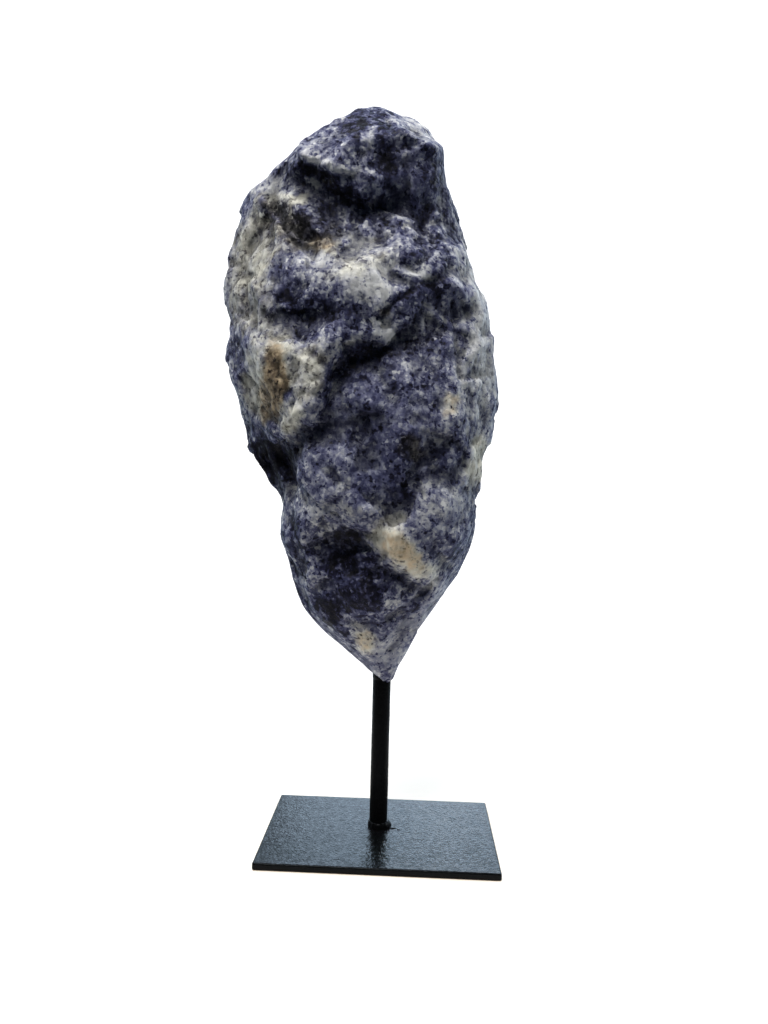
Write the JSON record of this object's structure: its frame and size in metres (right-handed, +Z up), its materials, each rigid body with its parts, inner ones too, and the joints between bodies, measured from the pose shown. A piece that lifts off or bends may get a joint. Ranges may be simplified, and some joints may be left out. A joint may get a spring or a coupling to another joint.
{
  "type": "sodalite on stand",
  "caption": "Rough sodalite chunk, broad above and pointed below, drilled and set upright on a black steel post welded to a rectangular base plate.",
  "frame": {"origin": "middle of the base plate's underside", "axes": "+Z up along the post, -Y out of the stone's display face, +X to the viewer's right"},
  "size_m": [0.1228, 0.0827, 0.3129],
  "materials": {
    "sodalite": "rough broken surface, navy and slate blue with cream and tan veins, sparkling grain",
    "black_steel": "semi-gloss black paint with a fine hammered texture",
    "dark_glue": "dark cured adhesive"
  },
  "bodies": {
    "root": {"stone": "sodalite", "base_plate": "black_steel", "post": "black_steel", "weld_bead": "black_steel", "glue_bead": "dark_glue"}
  },
  "joints": []
}
